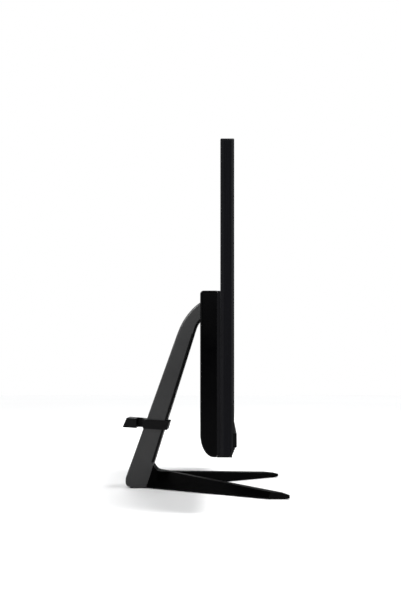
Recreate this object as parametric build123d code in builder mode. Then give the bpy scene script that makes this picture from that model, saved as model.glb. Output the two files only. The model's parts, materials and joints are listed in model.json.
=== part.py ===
from build123d import *
import os

# All-in-one desktop computer on a leaning arm with a two-legged foot.
# Millimetres. X runs along the screen's width, -Y is the screen side and +Z is up.
# The origin is on the desk, under the middle of the whole object.

os.makedirs("parts", exist_ok=True)

# ---------------------------------------------------------------- driving dimensions
# Display head
head_width = 540.0          # outer width, for a 23.8 inch 16:9 panel
head_bottom = 66.5          # height of the head's underside above the desk
head_top = 436.0
front_face = -41.5          # screen side of the bezel
thin_depth = 16.1           # upper part of the head, front to back
system_depth = 39.5         # lower part of the head, with the computer in it
system_top = 260.0          # top of the lower, deeper part
system_half = 268.0         # half width of the deeper part
corner_radius = 4.0
wall = 2.2                  # moulded wall thickness
active_width = 527.0        # lit picture area
active_height = 296.5
top_border = 7.0
fit = 0.1                   # gap between pieces that are assembled by hand

# Layers of the head, front to back
thin_back = front_face + thin_depth
system_back = front_face + system_depth
bezel_back = front_face + 3.0
frame_back = thin_back - 3.5
plinth_back = thin_back + 3.8
cover_front = plinth_back + 0.25     # the shadow gap round the deeper part
cover_inside = system_back - wall
chassis_thickness = 1.2
chassis_back = thin_back + chassis_thickness
board_front = chassis_back + 3.5
board_back = board_front + 1.6

# Heights in the head
window_top = head_top - top_border
window_bottom = window_top - active_height
chin_top = window_bottom - 4.4
trim_top = head_bottom + 2.4         # top of the strip under the head
chin_bottom = trim_top + 0.4

# Tilt hinge
hinge_y = -10.0
hinge_z = 258.0
pin_radius = 3.0
nose_radius = 11.5
notch_half = 40.0           # recess for the hinge in the deeper part
notch_floor = 228.0

# Stand
arm_half = 18.0             # half the arm's width
foot_clear = 1.5            # metal above the desk, on the rubber feet
heel_y = 111.3              # rear of the arm at the desk
toe_y = -115.3              # front ends of the legs
toe_half = 136.0            # half the foot's width at the toes
hub_y = 82.4                # where the legs meet the arm at the desk
strip_thickness = 3.4       # dark strip along the arm's front


# ---------------------------------------------------------------- small helpers
def front_plane(y):
    """The plane at depth y that faces the user, with X to the right and Z up."""
    return Plane.XZ.offset(-y)


def block(x_range, y_range, z_range, mode=Mode.ADD):
    """An upright block between three pairs of coordinates, in the part being built."""
    ranges = (x_range, y_range, z_range)
    centre = tuple((low + high) / 2 for low, high in ranges)
    with Locations(centre):
        Box(*(high - low for low, high in ranges), mode=mode)


def barrel(x, z, radius, y_range, mode=Mode.ADD):
    """A cylinder with its axis along Y, between two depths."""
    length = y_range[1] - y_range[0]
    with Locations(Location((x, (y_range[0] + y_range[1]) / 2, z), (90, 0, 0))):
        Cylinder(radius, length, mode=mode)


def axle(y, z, radius, x_range, mode=Mode.ADD):
    """A cylinder with its axis along X, between two sideways positions."""
    length = x_range[1] - x_range[0]
    with Locations(Location(((x_range[0] + x_range[1]) / 2, y, z), (0, 90, 0))):
        Cylinder(radius, length, mode=mode)


def post(x, y, radius, z_range, mode=Mode.ADD):
    """A cylinder with its axis upright, between two heights."""
    with Locations((x, y, (z_range[0] + z_range[1]) / 2)):
        Cylinder(radius, z_range[1] - z_range[0], mode=mode)


def keep(piece, name):
    """Label a finished piece and write it to its own file."""
    piece.part.label = name
    export_step(piece.part, f"parts/{name}.step")


# ================================================================ STAND
# Side outlines of the arm, as Y and Z. The straight stretches lean back from the head.
rear_low = (heel_y, 15.0)
rear_high = (38.6, 218.0)
front_low = (71.6, 35.0)
front_high = (12.6, 223.4)
lean = (front_low[0] - front_high[0]) / (front_high[1] - front_low[1])
strip_shift = strip_thickness * (1 + lean ** 2) ** 0.5
rear_lean = (rear_low[0] - rear_high[0]) / (rear_high[1] - rear_low[1])
seam_top = (72.0, 33.2)
seam_middle = (77.6, 15.0)
seam_foot = (hub_y, foot_clear)


def on_front(z, shift=0.0):
    """Point of the arm's straight front edge at height z, moved back by shift."""
    return (front_low[0] - lean * (z - front_low[1]) + shift, z)


def on_rear(z, shift=0.0):
    """Point of the arm's straight rear edge at height z, moved back by shift."""
    return (rear_low[0] - rear_lean * (z - rear_low[1]) + shift, z)


strip_low = 37.0
strip_high = front_high[1] - 2.0
heel_under = (heel_y - 10.0, foot_clear)
heel_rear = (heel_y, foot_clear + 8.0)
nose_under = (hinge_y - 0.331 * nose_radius, hinge_z - 0.944 * nose_radius)
nose_front = (hinge_y - nose_radius, hinge_z)
nose_crest = (hinge_y, hinge_z + nose_radius)
tongue_top = 8.0
tongue_back = 100.0
tongue_half = 12.0
base_screw_ys = (85.5, 95.0)
heel_pad_y = 103.7
heel_pad_half = 2.2

# Arm: a die-cast channel, closed at the front by a plastic strip
with BuildPart() as stand_arm:
    with BuildSketch(Plane.YZ):
        with BuildLine():
            Line(rear_low, rear_high)
            Spline(rear_high, (27.0, 242.6), (5.2, 265.6), nose_crest,
                   tangents=((-0.337, 0.942), (-1.0, 0.0)))
            ThreePointArc(nose_crest, nose_front, nose_under)
            Spline(nose_under, (5.2, 239.0), front_high,
                   tangents=((0.944, -0.331), (lean, -1.0)))
            Line(front_high, on_front(strip_high))
            Line(on_front(strip_high), on_front(strip_high, strip_shift))
            Line(on_front(strip_high, strip_shift), on_front(strip_low, strip_shift))
            Line(on_front(strip_low, strip_shift), on_front(strip_low))
            Line(on_front(strip_low), seam_top)
            ThreePointArc(seam_top, seam_middle, seam_foot)
            Line(seam_foot, heel_under)
            Spline(heel_under, heel_rear, tangents=((1.0, 0.0), (0.0, 1.0)))
            Line(heel_rear, rear_low)
        make_face()
    extrude(amount=arm_half, both=True)
    long_edges = stand_arm.edges().filter_by(Axis.X, reverse=True)
    rear_edges = long_edges.filter_by(lambda e: e.center().Y > on_rear(e.center().Z)[0] - 3
                                      and 20 < e.center().Z < 215)
    fillet(rear_edges, 2.5)
    with BuildSketch(Plane.YZ):
        with BuildLine():
            channel_wall = 3.7
            Polyline(on_front(41.0, strip_shift), on_rear(41.0, -channel_wall),
                     on_rear(217.0, -channel_wall), on_front(217.0, strip_shift), close=True)
        make_face()
    extrude(amount=arm_half - 3.5, both=True, mode=Mode.SUBTRACT)
    axle(hinge_y, hinge_z, pin_radius, (-arm_half - 1, arm_half + 1), mode=Mode.SUBTRACT)
    block((-tongue_half - fit, tongue_half + fit), (hub_y - 8, tongue_back + fit),
          (0, tongue_top + fit), mode=Mode.SUBTRACT)
    for screw_y in base_screw_ys:
        post(0, screw_y, 2.5, (tongue_top - 1, 24), mode=Mode.SUBTRACT)
    block((-11, 11), (heel_pad_y - heel_pad_half, heel_pad_y + heel_pad_half), (0, foot_clear + 1),
          mode=Mode.SUBTRACT)
keep(stand_arm, "stand_arm")

# Strip that closes the arm's channel at the front
with BuildPart() as arm_front_strip:
    with BuildSketch(Plane.YZ):
        with BuildLine():
            Polyline(on_front(strip_low), on_front(strip_low, strip_shift),
                     on_front(strip_high, strip_shift), on_front(strip_high), close=True)
        make_face()
    extrude(amount=arm_half, both=True)
    front_edges = arm_front_strip.edges().filter_by(
        lambda e: e.length > 100 and e.center().Y < on_front(e.center().Z)[0] + 1)
    fillet(front_edges, 1.2)
keep(arm_front_strip, "arm_front_strip")

# Foot: one casting with two spread legs. Each leg has a narrow flat top, an upright inner
# side and an outer flank that leans in, and its height falls from the hub to the toe.
leg_bend_y = -87.0          # from here to the toe the leg's outer edge runs straight forward
toe_inner = 126.0
crotch_y = 42.0
hub_half = 17.6
lip_top = foot_clear + 1.0
flank_run = 1.3             # sideways run of the flank for each millimetre of height
toe_flank_run = 1.1
cutter_top = 60.0
ridge_hub = (62.0, 24.4)
ridge_toe = (-106.0, 7.3)
toe_pad_x = 131.0
toe_pad_size = (7.0, 22.0)
toe_pad_y = -99.0
hub_pad_x = 14.0
hub_pad_y = 68.0
hub_pad_size = (12.0, 8.0)


def flank_cutter(across, run):
    """Outline, on the plane across the leg, of everything outside and above a flank."""
    with BuildSketch(across) as outline:
        with BuildLine():
            Polyline((0, lip_top), (30, lip_top), (30, cutter_top),
                     (-run * (cutter_top - lip_top), cutter_top), close=True)
        make_face()
    return outline.sketch


along_leg = Vector(toe_half - hub_half, leg_bend_y - hub_y)
across_leg = Vector(-along_leg.Y, along_leg.X)
leg_plane = Plane((hub_half, hub_y, 0), x_dir=across_leg, z_dir=along_leg)
toe_plane = Plane((toe_half, 0, 0), x_dir=(1, 0, 0), z_dir=(0, -1, 0))

with BuildPart() as v_base:
    with BuildSketch(Plane.XY.offset(foot_clear)):
        with BuildLine():
            Polyline((0, hub_y), (hub_half, hub_y), (toe_half, leg_bend_y), (toe_half, toe_y),
                     (toe_inner, toe_y), (0, crotch_y), close=True)
        make_face()
    extrude(amount=45)
    fillet(v_base.edges().filter_by(Axis.Z).filter_by(
        lambda e: e.center().Y < toe_y + 1), 3.0)
    extrude(flank_cutter(leg_plane, flank_run), amount=300, both=True, mode=Mode.SUBTRACT)
    extrude(flank_cutter(toe_plane, toe_flank_run), amount=150, both=True, mode=Mode.SUBTRACT)
    mirror(about=Plane.YZ)
    with BuildSketch(Plane.XY.offset(foot_clear)):
        with BuildLine():
            Polyline((-hub_half, hub_y + 4), (hub_half, hub_y + 4), (hub_half, 66),
                     (4, crotch_y), (-4, crotch_y), (-hub_half, 66), close=True)
        make_face()
    extrude(amount=45)
    with BuildSketch(Plane.YZ):
        with BuildLine():
            Polyline(seam_top, (68.8, 28.2), (66.2, 25.6), ridge_hub, ridge_toe, (toe_y, 4.8),
                     (toe_y, foot_clear), seam_foot)
            ThreePointArc(seam_foot, seam_middle, seam_top)
        make_face()
    extrude(amount=toe_half + 5, both=True, mode=Mode.INTERSECT)
    block((-tongue_half, tongue_half), (hub_y - 8, tongue_back), (foot_clear + 0.5, tongue_top))
    for screw_y in base_screw_ys:
        post(0, screw_y, 2.6, (0, 20), mode=Mode.SUBTRACT)
        post(0, screw_y, 4.3, (0, foot_clear + 3.6), mode=Mode.SUBTRACT)
    for side in (-1, 1):
        with Locations((side * toe_pad_x, toe_pad_y, foot_clear)):
            Box(*toe_pad_size, 2.0, mode=Mode.SUBTRACT)
        with Locations((side * hub_pad_x, hub_pad_y, foot_clear)):
            Box(*hub_pad_size, 2.0, mode=Mode.SUBTRACT)
keep(v_base, "v_base")

# Rubber feet, glued into shallow pockets
pad_height = foot_clear + 1.0
with BuildPart() as rubber_feet:
    for side in (-1, 1):
        with Locations((side * toe_pad_x, toe_pad_y, pad_height / 2)):
            Box(*toe_pad_size, pad_height)
        with Locations((side * hub_pad_x, hub_pad_y, pad_height / 2)):
            Box(*hub_pad_size, pad_height)
    block((-11, 11), (heel_pad_y - heel_pad_half, heel_pad_y + heel_pad_half), (0, pad_height))
    fillet(rubber_feet.edges().filter_by(Axis.Z), 1.5)
keep(rubber_feet, "rubber_feet")

# Screws that hold the foot's tongue to the arm from below
with BuildPart() as base_screws:
    for screw_y in base_screw_ys:
        post(0, screw_y, 2.45, (foot_clear + 3, 22))
        post(0, screw_y, 3.9, (foot_clear + 0.5, foot_clear + 3.5))
        with BuildSketch(Plane.XY.offset(foot_clear + 0.5)):
            with Locations((0, screw_y)):
                RegularPolygon(2.0, 6)
        extrude(amount=1.6, mode=Mode.SUBTRACT)
keep(base_screws, "base_screws")

# Cable clip: a band that snaps round the arm, with a hook behind it for the cables
clip_gap = 0.15
clip_slot_back = 96.0
clip_slot_front = 86.6
clip_half = arm_half + clip_gap + 2.6
with BuildPart() as cable_clip:
    with BuildSketch(Plane.YZ):
        with BuildLine():
            Polyline((109.6, 101.0), (48.2, 96.5), (51.8, 83.4), (115.3, 87.6), close=True)
        make_face()
    extrude(amount=clip_half, both=True)
    fillet(cable_clip.edges().filter_by(Axis.X), 0.8)
    with BuildSketch(Plane.YZ):
        with BuildLine():
            Polyline(on_front(60, -clip_gap), on_rear(60, clip_gap), on_rear(120, clip_gap),
                     on_front(120, -clip_gap), close=True)
        make_face()
    extrude(amount=arm_half + clip_gap, both=True, mode=Mode.SUBTRACT)
    block((-10, 10), (40, 60), (80, 100), mode=Mode.SUBTRACT)
    block((-clip_half - 1, 11.5), (clip_slot_front, clip_slot_back), (80, 104),
          mode=Mode.SUBTRACT)
keep(cable_clip, "cable_clip")

# Tilt hinge: a pin pressed through the arm's nose, with friction washers and lock nuts
ear_inner = arm_half + 1.3
ear_outer = ear_inner + 3.0
washer_outer = ear_outer + 1.25
nut_outer = washer_outer + 5.0
pin_end = nut_outer + 1.5
with BuildPart() as hinge_pin:
    axle(hinge_y, hinge_z, pin_radius, (-pin_end, pin_end))
    chamfer(hinge_pin.edges().filter_by(GeomType.CIRCLE), 0.6)
keep(hinge_pin, "hinge_pin")

with BuildPart() as friction_washers:
    for side in (-1, 1):
        for inner, outer in ((arm_half, ear_inner - 0.05), (ear_outer + 0.05, washer_outer)):
            span = sorted((side * inner, side * outer))
            axle(hinge_y, hinge_z, 6.5, span)
            axle(hinge_y, hinge_z, pin_radius, span, mode=Mode.SUBTRACT)
keep(friction_washers, "friction_washers")

with BuildPart() as hinge_nuts:
    for side in (-1, 1):
        nut_faces = sorted((side * washer_outer, side * nut_outer))
        with BuildSketch(Plane.YZ.offset(nut_faces[0])):
            with Locations((hinge_y, hinge_z)):
                RegularPolygon(5.8, 6)
        extrude(amount=nut_outer - washer_outer)
    axle(hinge_y, hinge_z, pin_radius, (-pin_end, pin_end), mode=Mode.SUBTRACT)
keep(hinge_nuts, "hinge_nuts")

# ================================================================ DISPLAY HEAD
# Bracket on the head that turns on the hinge pin
bracket_half = 36.0
bracket_back = chassis_back + 1.6
bracket_bottom = notch_floor + 3.0
bracket_top = system_top - 2.0
bracket_screw_xs = (-30.0, 30.0)
bracket_screw_zs = (236.0, 251.0)
with BuildPart() as hinge_bracket:
    block((-bracket_half, bracket_half), (chassis_back, bracket_back),
          (bracket_bottom, bracket_top))
    for side in (-1, 1):
        ear_faces = sorted((side * ear_inner, side * ear_outer))
        block(ear_faces, (chassis_back, hinge_y), (hinge_z - 9, hinge_z - 1))
        block(ear_faces, (chassis_back, hinge_y), (hinge_z - 9, bracket_top + 4))
        axle(hinge_y, hinge_z, 9.0, ear_faces)
        axle(hinge_y, hinge_z, pin_radius + 0.05, ear_faces, mode=Mode.SUBTRACT)
    for screw_x in bracket_screw_xs:
        for screw_z in bracket_screw_zs:
            barrel(screw_x, screw_z, 1.6, (chassis_back - 1, bracket_back + 1),
                   mode=Mode.SUBTRACT)
keep(hinge_bracket, "hinge_bracket")

with BuildPart() as hinge_screws:
    for screw_x in bracket_screw_xs:
        for screw_z in bracket_screw_zs:
            barrel(screw_x, screw_z, 1.5, (thin_back - 2.0, bracket_back))
            barrel(screw_x, screw_z, 2.8, (bracket_back, bracket_back + 1.6))
keep(hinge_screws, "hinge_screws")

# Covers at both sides of the hinge, in the recess
cover_inner = ear_outer + 0.6
cover_outer = notch_half - 0.4
with BuildPart() as hinge_covers:
    for side in (-1, 1):
        outer_faces = sorted((side * cover_inner, side * cover_outer))
        cavity_faces = sorted((side * cover_inner, side * (cover_outer - 2.0)))
        block(outer_faces, (bracket_back + 0.3, system_back + 2.0),
              (notch_floor + 0.4, system_top + 8.5))
        block(cavity_faces, (bracket_back + 0.3, system_back + 0.2),
              (notch_floor + 2.2, system_top + 6.7), mode=Mode.SUBTRACT)
    crown_edges = hinge_covers.edges().filter_by(Axis.X).filter_by(
        lambda e: e.center().Z > system_top + 8 and e.center().Y > hinge_y)
    fillet(crown_edges, 5.0)
keep(hinge_covers, "hinge_covers")

# ---------------------------------------------------------------- front of the head
camera_z = head_top - 3.5
shutter_slot = (-6.0, 18.5)
shutter_rest = (5.0, 17.5)
hatch_front = front_face + 0.5
hatch_back = front_face + 1.1
camera_pocket = front_face + 1.8
mic_xs = (-24.0, 24.0)
camera_board_half = 32.0

# Bezel round the picture, with a track for the camera's shutter
with BuildPart() as front_bezel:
    with BuildSketch(front_plane(bezel_back)):
        with Locations((0, (head_top + chin_top) / 2)):
            Rectangle(head_width, head_top - chin_top)
        with Locations((0, (window_top + window_bottom) / 2)):
            Rectangle(active_width, active_height, mode=Mode.SUBTRACT)
    extrude(amount=bezel_back - front_face)
    fillet(front_bezel.edges().filter_by(Axis.Y).filter_by(
        lambda e: e.center().Z > head_top - 1), corner_radius)
    front_rim = front_bezel.faces().sort_by(Axis.Y)[0].outer_wire().edges()
    chamfer(front_rim.filter_by(lambda e: e.center().Z > chin_top + 1), 0.6)
    block(shutter_slot, (front_face - 1, hatch_front), (camera_z - 1.6, camera_z + 1.6),
          mode=Mode.SUBTRACT)
    block(shutter_slot, (hatch_front, hatch_back), (camera_z - 2.1, camera_z + 2.1),
          mode=Mode.SUBTRACT)
    barrel(0, camera_z, 2.0, (front_face, bezel_back), mode=Mode.SUBTRACT)
    block((-camera_board_half - fit, camera_board_half + fit), (camera_pocket, bezel_back + 1),
          (window_top + 0.9, head_top - 1.0), mode=Mode.SUBTRACT)
    for mic_x in mic_xs:
        barrel(mic_x, camera_z, 0.5, (front_face - 1, camera_pocket), mode=Mode.SUBTRACT)
keep(front_bezel, "front_bezel")

# Shutter that slides across the camera, held by the lips of its track
with BuildPart() as camera_shutter:
    block(shutter_rest, (hatch_front + 0.05, hatch_back - 0.05), (camera_z - 1.9, camera_z + 1.9))
    block((shutter_rest[0] + 1, shutter_rest[1] - 1), (front_face, hatch_front + 0.05),
          (camera_z - 1.35, camera_z + 1.35))
    for groove_x in (9.75, 11.25, 12.75):
        block((groove_x - 0.3, groove_x + 0.3), (front_face, front_face + 0.25),
              (camera_z - 1.35, camera_z + 1.35), mode=Mode.SUBTRACT)
keep(camera_shutter, "camera_shutter")

with BuildPart() as camera_board:
    block((-camera_board_half, camera_board_half), (camera_pocket + fit, bezel_back - fit),
          (window_top + 1.0, head_top - 1.1))
keep(camera_board, "camera_board")

with BuildPart() as camera_lens:
    barrel(0, camera_z, 1.9, (hatch_back + 0.1, camera_pocket + fit))
keep(camera_lens, "camera_lens")

# Chin: the band under the picture, with a groove for the speaker grille
grille_low = 78.0
grille_high = 94.6
groove_back = front_face + 1.4
sound_window = (100.0, 222.0)
with BuildPart() as chin_cover:
    with BuildSketch(Plane.YZ):
        with BuildLine():
            Polyline((bezel_back, chin_top - 0.4), (front_face, chin_top - 0.4),
                     (front_face, 104.0), (front_face - 1.2, grille_high + 0.6),
                     (groove_back, grille_high + 0.6), (groove_back, grille_low - 0.6),
                     (front_face - 1.1, grille_low - 0.6), (front_face + 2.2, chin_bottom),
                     (front_face + 4.4, chin_bottom), (bezel_back, grille_low - 2.4),
                     close=True)
        make_face()
    extrude(amount=head_width / 2, both=True)
    for side in (-1, 1):
        window_faces = sorted(side * x for x in sound_window)
        block(window_faces, (front_face, bezel_back + 1), (grille_low + 2, grille_high - 2),
              mode=Mode.SUBTRACT)
    barrel(250, 111, 1.0, (front_face - 1, bezel_back + 1), mode=Mode.SUBTRACT)
keep(chin_cover, "chin_cover")

with BuildPart() as status_light:
    barrel(250, 111, 1.0, (front_face, bezel_back))
keep(status_light, "status_light")

# Speaker grille: a proud bar across the chin, slotted in front of each speaker
grille_front = front_face - 3.0
grille_half = 268.0
slot_pitch = 4.0
slots_per_side = 28
with BuildPart() as speaker_grille:
    block((-grille_half, grille_half), (grille_front, groove_back), (grille_low, grille_high))
    fillet(speaker_grille.edges().filter_by(Axis.X).filter_by(
        lambda e: e.center().Y < front_face), 1.2)
    for side in (-1, 1):
        hollow = sorted(side * x for x in sound_window)
        block(hollow, (grille_front + 1.4, groove_back + 1), (grille_low + 2, grille_high - 2),
              mode=Mode.SUBTRACT)
        slot_middle = side * (sound_window[0] + sound_window[1]) / 2
        with BuildSketch(front_plane(grille_front + 2)):
            with Locations((slot_middle, (grille_low + grille_high) / 2)):
                with GridLocations(slot_pitch, 1, slots_per_side, 1):
                    SlotOverall(10.0, 1.6, rotation=90)
        extrude(amount=3, mode=Mode.SUBTRACT)
keep(speaker_grille, "speaker_grille")

# Strip under the head, with the hole for the power button
button_x = 246.0
button_y = -33.2
button_size = (14.0, 5.0)
trim_front = front_face + 2.4
with BuildPart() as bottom_trim:
    block((-system_half, system_half), (trim_front, plinth_back), (head_bottom, trim_top))
    fillet(bottom_trim.edges().filter_by(Axis.Z), 1.0)
    with BuildSketch(Plane.XY.offset(head_bottom - 1)):
        with Locations((button_x, button_y)):
            SlotOverall(button_size[0] + 0.6, button_size[1] + 0.6)
    extrude(amount=5, mode=Mode.SUBTRACT)
keep(bottom_trim, "bottom_trim")

button_travel = 0.8
button_low = head_bottom - 0.3
with BuildPart() as power_button:
    with BuildSketch(Plane.XY.offset(button_low)):
        with Locations((button_x, button_y)):
            SlotOverall(*button_size)
    extrude(amount=trim_top + 0.6 - button_low)
    fillet(power_button.edges().group_by(Axis.Z)[0], 0.4)
    post(button_x, button_y, 1.2, (trim_top + 0.5, trim_top + 1.6))
keep(power_button, "power_button")

switch_bottom = trim_top + 1.6 + button_travel + 0.05
with BuildPart() as power_button_board:
    block((button_x - 9, button_x + 9), (button_y - 3.3, button_y + 3.3),
          (switch_bottom + 1.6, switch_bottom + 2.6))
    block((button_x - 3, button_x + 3), (button_y - 3, button_y + 3),
          (switch_bottom, switch_bottom + 1.6))
keep(power_button_board, "power_button_board")

# ---------------------------------------------------------------- picture panel
panel_half = active_width / 2 + 2.0
panel_low = window_bottom - 2.0
panel_high = window_top + 0.8
glass_back = bezel_back + 1.2
guide_back = glass_back + 2.9
tray_back = guide_back + 1.1
with BuildPart() as lcd_panel:
    block((-panel_half, panel_half), (bezel_back, glass_back), (panel_low, panel_high))
keep(lcd_panel, "lcd_panel")

with BuildPart() as light_guide:
    block((-panel_half + 1.5, panel_half - 1.5), (glass_back, guide_back),
          (panel_low + 3.4, panel_high - 1.5))
keep(light_guide, "light_guide")

led_count = 44
with BuildPart() as led_strip:
    block((-panel_half + 1.5, panel_half - 1.5), (glass_back + 0.2, guide_back),
          (panel_low + 1.3, panel_low + 2.2))
    with Locations((0, (glass_back + guide_back) / 2 + 0.1, panel_low + 2.6)):
        with GridLocations(11.8, 1, led_count, 1):
            Box(6.0, 2.2, 0.8)
keep(led_strip, "led_strip")

rib_count = 6
with BuildPart() as panel_tray:
    block((-panel_half, panel_half), (glass_back, tray_back), (panel_low, panel_high))
    block((-panel_half + 1.2, panel_half - 1.2), (glass_back - 1, guide_back),
          (panel_low + 1.2, panel_high - 1.2), mode=Mode.SUBTRACT)
    with Locations((0, tray_back + 0.5, 270)):
        with GridLocations(80, 1, rib_count, 1):
            Box(12, 1.0, 250)
keep(panel_tray, "panel_tray")

# Driver board under the picture
driver_board_z = (103.0, 119.0)
with BuildPart() as panel_driver_board:
    block((-62, 62), (bezel_back + 1.0, bezel_back + 2.2), driver_board_z)
    for chip_x in (-40, -12, 20):
        block((chip_x - 5, chip_x + 5), (bezel_back + 2.2, bezel_back + 3.4), (107, 115))
keep(panel_driver_board, "panel_driver_board")

# ---------------------------------------------------------------- frame and rear shells
# Middle frame: the band round the head's sides, with a ledge behind the picture panel
band = 2.5
ledge = 9.0
ledge_front = tray_back + 1.2
ledge_back = frame_back - 0.3
rail_z = (chin_top - 6.0, chin_top - 1.0)
with BuildPart() as mid_frame:
    with BuildSketch(front_plane(frame_back)):
        with Locations((0, (head_top + trim_top) / 2)):
            Rectangle(head_width, head_top - trim_top)
    extrude(amount=frame_back - bezel_back)
    fillet(mid_frame.edges().filter_by(Axis.Y).filter_by(
        lambda e: e.center().Z > head_top - 1), corner_radius)
    block((-head_width / 2 + band, head_width / 2 - band), (bezel_back - 1, frame_back + 1),
          (trim_top + band, head_top - band), mode=Mode.SUBTRACT)
    inner_half = head_width / 2 - band
    for side in (-1, 1):
        ledge_faces = sorted((side * inner_half, side * (inner_half - ledge)))
        block(ledge_faces, (ledge_front, ledge_back), (rail_z[0], head_top - band))
    block((-inner_half, inner_half), (ledge_front, ledge_back),
          (head_top - band - ledge, head_top - band))
    block((-inner_half, inner_half), (ledge_front, ledge_back), rail_z)
    block((button_x - 10, button_x + 10), (button_y - 6, button_y + 6), (trim_top, 73.6),
          mode=Mode.SUBTRACT)
    block((-head_width, head_width), (bezel_back - 1, front_face + 4.5),
          (trim_top - 1, grille_low - 2.2), mode=Mode.SUBTRACT)
keep(mid_frame, "mid_frame")

# Thin rear cover, with a raised plinth that the system cover closes on
opening_half = 255.0
opening_z = (80.0, 248.0)
plinth_half = system_half - 0.5
plinth_wall = 2.4
lip_half = system_half - wall - 0.3     # locating lip, inside the system cover's mouth
lip_wall = 1.9
lip_back = cover_front + 2.5
lip_z = (trim_top + 0.4, system_top - wall - 0.4)
cable_slot_x = (-34.0, -12.0)
with BuildPart() as rear_panel:
    with BuildSketch(front_plane(thin_back)):
        with Locations((0, (head_top + trim_top) / 2)):
            Rectangle(head_width, head_top - trim_top)
    extrude(amount=thin_back - frame_back)
    fillet(rear_panel.edges().filter_by(Axis.Y).filter_by(
        lambda e: e.center().Z > head_top - 1), corner_radius)
    rear_rim = rear_panel.faces().sort_by(Axis.Y)[-1].outer_wire().edges()
    fillet(rear_rim.filter_by(lambda e: e.center().Z > trim_top + 1), 1.4)
    block((-plinth_half, plinth_half), (thin_back, plinth_back), (trim_top, system_top - 0.5))
    block((-plinth_half + plinth_wall, plinth_half - plinth_wall), (thin_back, plinth_back + 1),
          (trim_top + plinth_wall, system_top - 0.5 - plinth_wall), mode=Mode.SUBTRACT)
    block((-lip_half, lip_half), (thin_back, lip_back), lip_z)
    block((-lip_half + lip_wall, lip_half - lip_wall), (thin_back, lip_back + 1),
          (lip_z[0] + lip_wall, lip_z[1] - lip_wall), mode=Mode.SUBTRACT)
    block((-notch_half - 2.5, notch_half + 2.5), (thin_back, lip_back + 1),
          (200, system_top + 5), mode=Mode.SUBTRACT)
    block((-opening_half, opening_half), (frame_back - 1, thin_back + 1), opening_z,
          mode=Mode.SUBTRACT)
    pocket_half = head_width / 2 - band
    block((-pocket_half, pocket_half), (frame_back - 1, thin_back - 2.0),
          (opening_z[1] + 4, head_top - band), mode=Mode.SUBTRACT)
    for screw_x in bracket_screw_xs:
        barrel(screw_x, bracket_screw_zs[1], 1.6, (frame_back, thin_back + 1),
               mode=Mode.SUBTRACT)
keep(rear_panel, "rear_panel")

# System cover: the deep shell over the computer, with a recess for the hinge
corner_run = 16.0           # the underside curves up into the rear face
corner_rise = 27.0
top_edge_radius = 4.0
vent_pitch = 6.0
io_window_x = (-232.0, -86.0)
io_window_z = (99.0, 121.0)
fan_x = 112.0
fan_z = 150.0
cover_screw_spots = [(x, 250.0) for x in (-258.0, -60.0, 60.0, 258.0)]
cover_screw_spots += [(x, 122.0) for x in (-258.0, -20.0, 50.0, 258.0)]


def cover_profile(inset, top_cut):
    """Side outline of the deep shell, drawn smaller by inset on every side but the front."""
    back = system_back - inset
    low = head_bottom + inset
    high = system_top - inset
    with BuildSketch(Plane.YZ) as outline:
        with BuildLine():
            Line((cover_front - top_cut, low), (back - corner_run + inset, low))
            EllipticalCenterArc((back - corner_run + inset, low + corner_rise - inset),
                                corner_run - inset, corner_rise - inset, 270, arc_size=90)
            Line((back, low + corner_rise - inset), (back, high - top_edge_radius + inset))
            RadiusArc((back, high - top_edge_radius + inset),
                      (back - top_edge_radius + inset, high), -(top_edge_radius - inset))
            Line((back - top_edge_radius + inset, high), (cover_front - top_cut, high))
            Line((cover_front - top_cut, high), (cover_front - top_cut, low))
        make_face()
    return outline.sketch


with BuildPart() as system_cover:
    extrude(cover_profile(0, 0), amount=system_half, both=True)
    side_loops = system_cover.edges().filter_by(
        lambda e: abs(abs(e.center().X) - system_half) < 0.01
        and e.center().Y > cover_front + 0.5)
    fillet(side_loops, 3.2)
    extrude(cover_profile(wall, 1.0), amount=system_half - wall, both=True, mode=Mode.SUBTRACT)
    block((-notch_half - wall, notch_half + wall), (cover_front, system_back - 1),
          (notch_floor - wall, system_top - 1))
    block((-notch_half, notch_half), (cover_front - 1, system_back + 1),
          (notch_floor, system_top + 1), mode=Mode.SUBTRACT)
    vent_plane = front_plane(system_back + 1)
    for side in (-1, 1):
        with BuildSketch(vent_plane):
            with Locations((side * 150, 238)):
                with GridLocations(vent_pitch, 1, 30, 1):
                    SlotOverall(14.0, 2.6, rotation=90)
        extrude(amount=wall + 2, mode=Mode.SUBTRACT)
        with BuildSketch(Plane.XY.offset(system_top - wall - 1)):
            with Locations((side * 150, (cover_front + system_back) / 2)):
                with GridLocations(vent_pitch, 1, 30, 1):
                    SlotOverall(10.0, 2.6, rotation=90)
        extrude(amount=wall + 2, mode=Mode.SUBTRACT)
    with BuildSketch(vent_plane):
        with Locations((fan_x, fan_z)):
            for ring in range(2, 5):
                with PolarLocations(ring * 7.0, ring * 6):
                    SlotOverall(5.6, 2.6, rotation=90)
            Circle(3.0)
    extrude(amount=wall + 2, mode=Mode.SUBTRACT)
    block(io_window_x, (cover_inside - 1, system_back + 1), io_window_z, mode=Mode.SUBTRACT)
    for screw_x, screw_z in cover_screw_spots:
        barrel(screw_x, screw_z, 1.7, (cover_inside - 1, system_back + 1), mode=Mode.SUBTRACT)
        barrel(screw_x, screw_z, 3.2, (system_back - 1.2, system_back + 1), mode=Mode.SUBTRACT)
keep(system_cover, "system_cover")

# Screws of the system cover, each in a pillar on the chassis
with BuildPart() as cover_screws:
    for screw_x, screw_z in cover_screw_spots:
        barrel(screw_x, screw_z, 1.5, (cover_inside - 7, system_back - 1.2))
        barrel(screw_x, screw_z, 2.9, (system_back - 1.2, system_back - 0.1))
keep(cover_screws, "cover_screws")

# ================================================================ COMPUTER
board_x = (-235.0, -35.0)
board_z = (92.0, 222.0)
standoff_spots = [(x, z) for x in (board_x[0] + 6, -140.0, board_x[1] - 6)
                  for z in (board_z[0] + 24, board_z[1] - 5)]

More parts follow.
